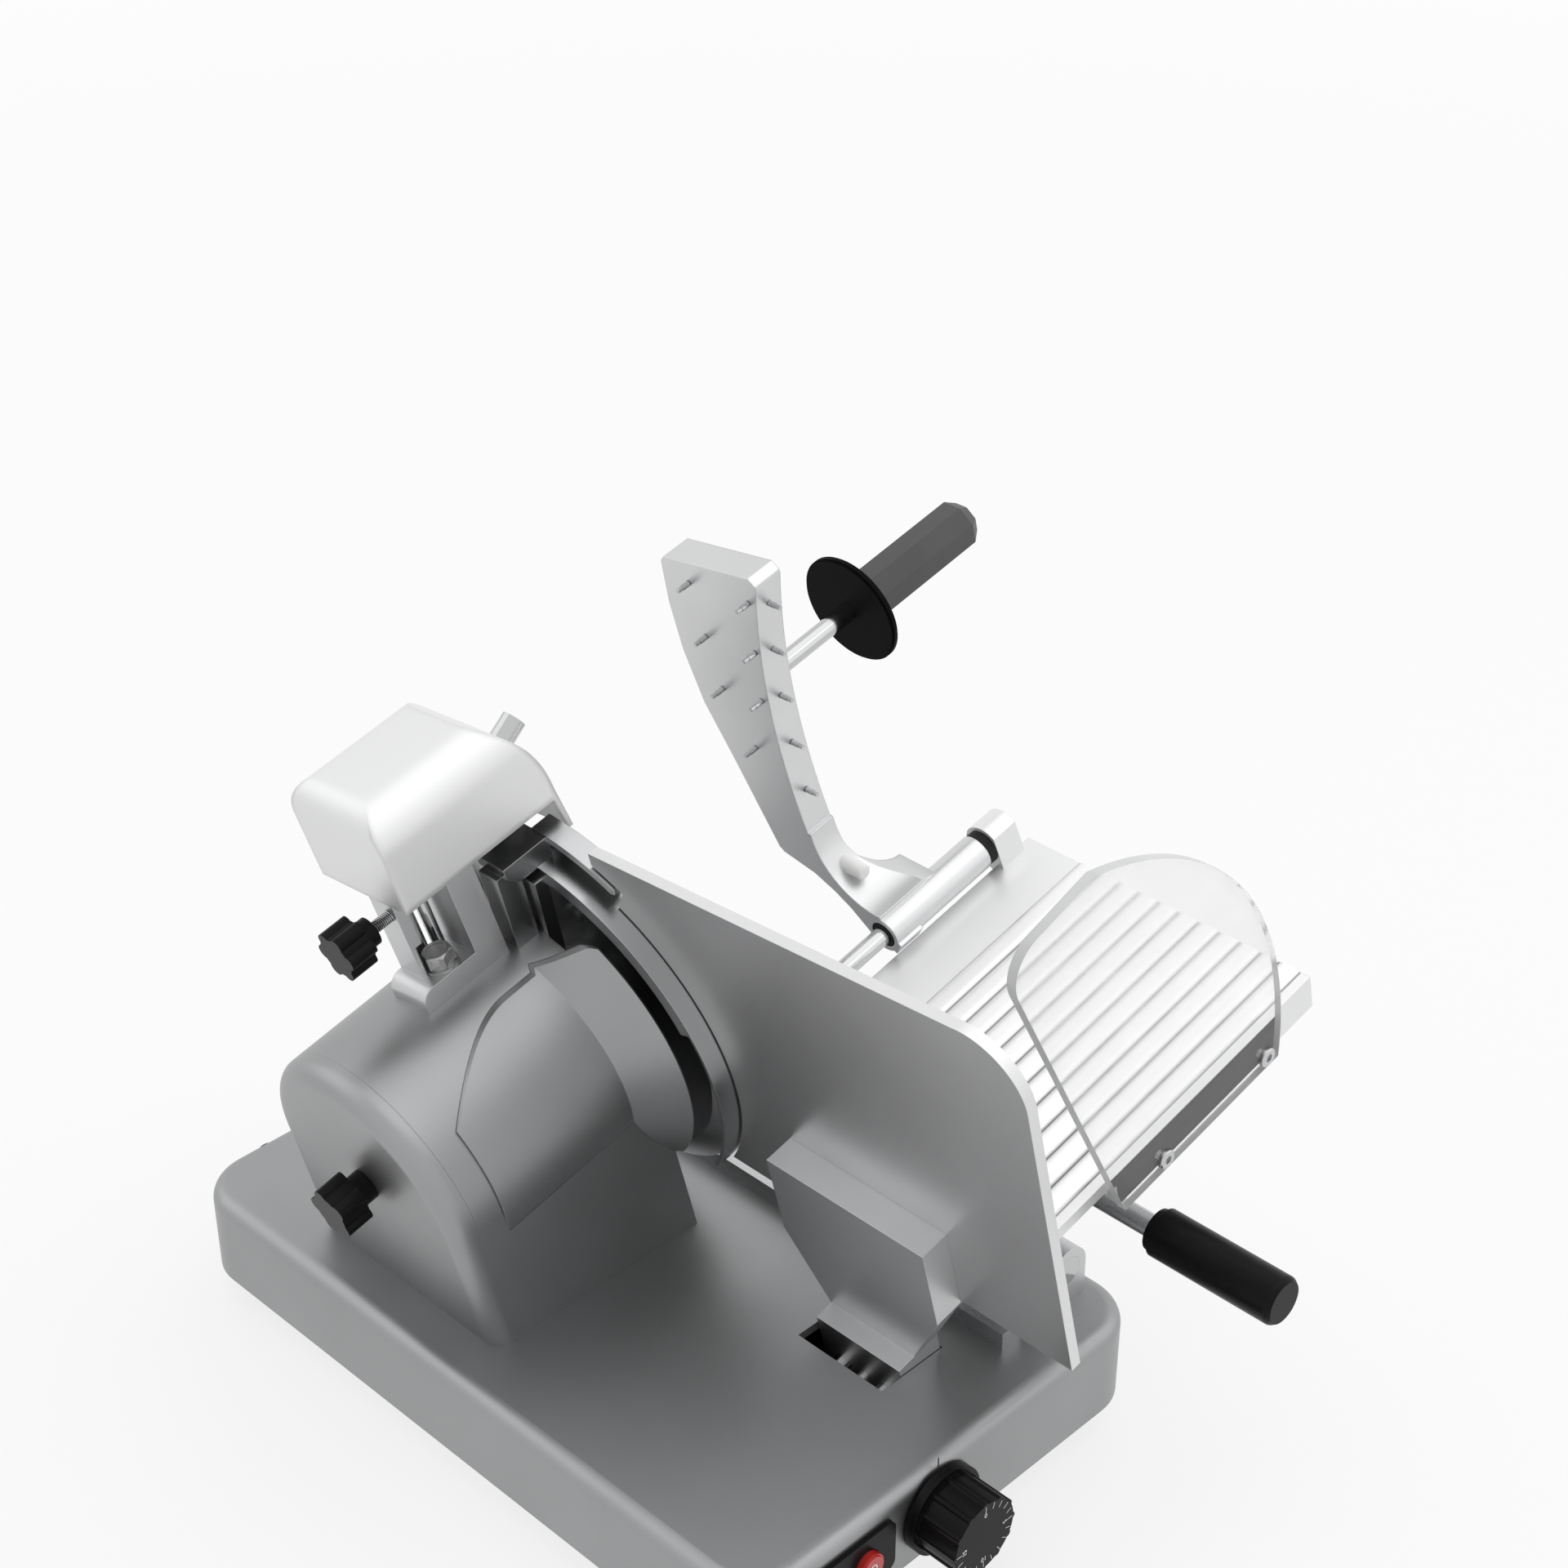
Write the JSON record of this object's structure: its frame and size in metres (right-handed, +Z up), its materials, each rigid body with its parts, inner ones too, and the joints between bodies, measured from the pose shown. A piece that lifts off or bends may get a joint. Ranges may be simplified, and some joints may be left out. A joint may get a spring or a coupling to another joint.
{
  "type": "electric food slicer",
  "caption": "Gravity-feed food slicer with a tilted round blade, sliding fluted tray, swing pusher with spikes, gauge plate set by a dial and a hooded sharpener.",
  "frame": {"origin": "middle of the part's box on the table, under the rubber feet", "axes": "+Z up, -Y to the operator, +X to the carriage and the food"},
  "size_m": [0.5042, 0.633, 0.498],
  "materials": {
    "cast_aluminium": "satin cast",
    "silver_paint": "satin metallic paint",
    "brushed_aluminium": "brushed",
    "polished_steel": "polished",
    "plain_steel": "machined",
    "chrome_rod": "bright",
    "black_plastic": "satin",
    "grey_plastic": "satin",
    "white_nylon": "plain",
    "black_rubber": "matt",
    "motor_paint": "plain",
    "clear_acrylic": "clear",
    "green_plastic": "gloss",
    "red_plastic": "gloss",
    "fibre": "matt",
    "abrasive": "gritty"
  },
  "bodies": {
    "frame": {"base_casting": "cast_aluminium", "base_plate": "plain_steel", "rubber_feet": "black_rubber", "drive_housing": "cast_aluminium", "rear_cover": "cast_aluminium", "motor": "motor_paint", "drive_belt": "black_rubber", "shaft_bearings": "plain_steel", "blade_cover": "polished_steel", "cover_tie_rod": "plain_steel", "ring_guard": "polished_steel", "ring_screws": "plain_steel", "slice_deflector": "polished_steel", "gauge_guides": "chrome_rod", "switch_panel": "black_plastic", "cable_gland": "black_plastic", "carriage_rail": "chrome_rod", "rail_blocks": "cast_aluminium", "support_bar": "plain_steel", "sharpener_bracket": "cast_aluminium", "sharpener_bolt": "plain_steel", "bolt_washers": "plain_steel", "sharpener_posts": "plain_steel", "fibre_pad": "fibre"},
    "blade_unit": {"blade_shaft": "plain_steel", "blade": "polished_steel", "blade_screws": "plain_steel", "blade_pulley": "plain_steel"},
    "motor_rotor": {"motor_shaft": "plain_steel", "motor_pulley": "plain_steel"},
    "cover_knob": {"cover_knob": "black_plastic"},
    "gauge": {"gauge_plate": "brushed_aluminium", "gauge_support": "cast_aluminium"},
    "dial": {"dial_shaft": "plain_steel", "dial_knob": "black_plastic"},
    "on_button": {"on_button": "green_plastic"},
    "off_button": {"off_button": "red_plastic"},
    "carriage": {"carriage_slider": "cast_aluminium", "slider_shoe": "white_nylon", "carriage_arm": "cast_aluminium", "carriage_tray": "brushed_aluminium", "slide_rod": "chrome_rod", "rod_stops": "black_rubber", "hand_guard": "clear_acrylic", "guard_screws": "plain_steel", "carriage_handle": "plain_steel", "carriage_grip": "black_plastic"},
    "tray_lock": {"tray_lock_knob": "black_plastic"},
    "pusher_bush": {"pusher_bush": "black_plastic"},
    "pusher": {"pusher_arm": "brushed_aluminium", "pusher_spikes": "plain_steel", "handle_rod": "chrome_rod", "hand_shield": "black_plastic", "handle_grip": "grey_plastic"},
    "sharpener": {"sharpener_head": "cast_aluminium", "sharpener_cover": "silver_paint"},
    "star_knob": {"star_knob": "black_plastic"},
    "grinder": {"push_pin": "chrome_rod"},
    "grinding_stone": {"grinding_stone": "abrasive"},
    "burr_stone": {"burr_stone": "abrasive"}
  },
  "joints": [
    {"name": "blade_spin", "type": "hinge", "parent": "frame", "child": "blade_unit", "pos_m": [-0.0424, 0.1215, 0.215], "axis": [0.9703, 0, 0.2419], "continuous": true},
    {"name": "motor_spin", "type": "hinge", "parent": "frame", "child": "motor_rotor", "pos_m": [-0.14314, 0.1215, 0.08167], "axis": [0.9703, 0, 0.2419], "continuous": true},
    {"name": "cover_knob_turn", "type": "hinge", "parent": "frame", "child": "cover_knob", "pos_m": [-0.23646, 0.1215, 0.16662], "axis": [0.9703, 0, 0.2419], "continuous": true},
    {"name": "dial_turn", "type": "hinge", "parent": "frame", "child": "dial", "pos_m": [-0.0864, -0.2035, 0.05], "axis": [0, -1, 0], "range_deg": [0, 270]},
    {"name": "gauge_slide", "type": "slide", "parent": "frame", "child": "gauge", "axis": [-0.9703, 0, -0.2419], "range_m": [0, 0.015]},
    {"name": "on_press", "type": "slide", "parent": "frame", "child": "on_button", "axis": [0, 1, 0], "range_m": [0, 0.003], "stiffness_N_per_m": 400, "springref_m": -0.002},
    {"name": "off_press", "type": "slide", "parent": "frame", "child": "off_button", "axis": [0, 1, 0], "range_m": [0, 0.003], "stiffness_N_per_m": 400, "springref_m": -0.002},
    {"name": "carriage_slide", "type": "slide", "parent": "frame", "child": "carriage", "axis": [0, 1, 0], "range_m": [0, 0.27]},
    {"name": "tray_lock_turn", "type": "hinge", "parent": "carriage", "child": "tray_lock", "pos_m": [0.0836, -0.1035, 0.15], "axis": [1, 0, 0], "continuous": true},
    {"name": "pusher_slide", "type": "slide", "parent": "carriage", "child": "pusher_bush", "axis": [0.9703, 0, 0.2419], "range_m": [-0.0975, 0]},
    {"name": "pusher_swing", "type": "hinge", "parent": "pusher_bush", "child": "pusher", "pos_m": [0.12983, 0.0045, 0.26], "axis": [0.9703, 0, 0.2419], "range_deg": [0, 70]},
    {"name": "sharpener_slide", "type": "slide", "parent": "frame", "child": "sharpener", "axis": [0.2396, -0.1392, -0.9609], "range_m": [0, 0.008]},
    {"name": "star_knob_turn", "type": "hinge", "parent": "frame", "child": "star_knob", "pos_m": [-0.1921, 0.14183, 0.31939], "axis": [0.9703, 0, 0.2419], "continuous": true},
    {"name": "grinder_push", "type": "slide", "parent": "sharpener", "child": "grinder", "axis": [-0.7781, -0.0588, -0.6253], "range_m": [0, 0.003], "stiffness_N_per_m": 600, "springref_m": -0.003},
    {"name": "grinding_stone_spin", "type": "hinge", "parent": "grinder", "child": "grinding_stone", "pos_m": [-0.08324, 0.15025, 0.35639], "axis": [0.7781, 0.0588, 0.6253], "continuous": true},
    {"name": "burr_stone_spin", "type": "hinge", "parent": "sharpener", "child": "burr_stone", "pos_m": [-0.10864, 0.15002, 0.34838], "axis": [0.9703, 0, 0.2419], "continuous": true}
  ],
  "couplings": [
    {"joint": "motor_spin", "follows": "blade_spin", "ratio": 2.2222},
    {"joint": "dial_turn", "follows": "gauge_slide", "rad_per_m": 314.16}
  ]
}
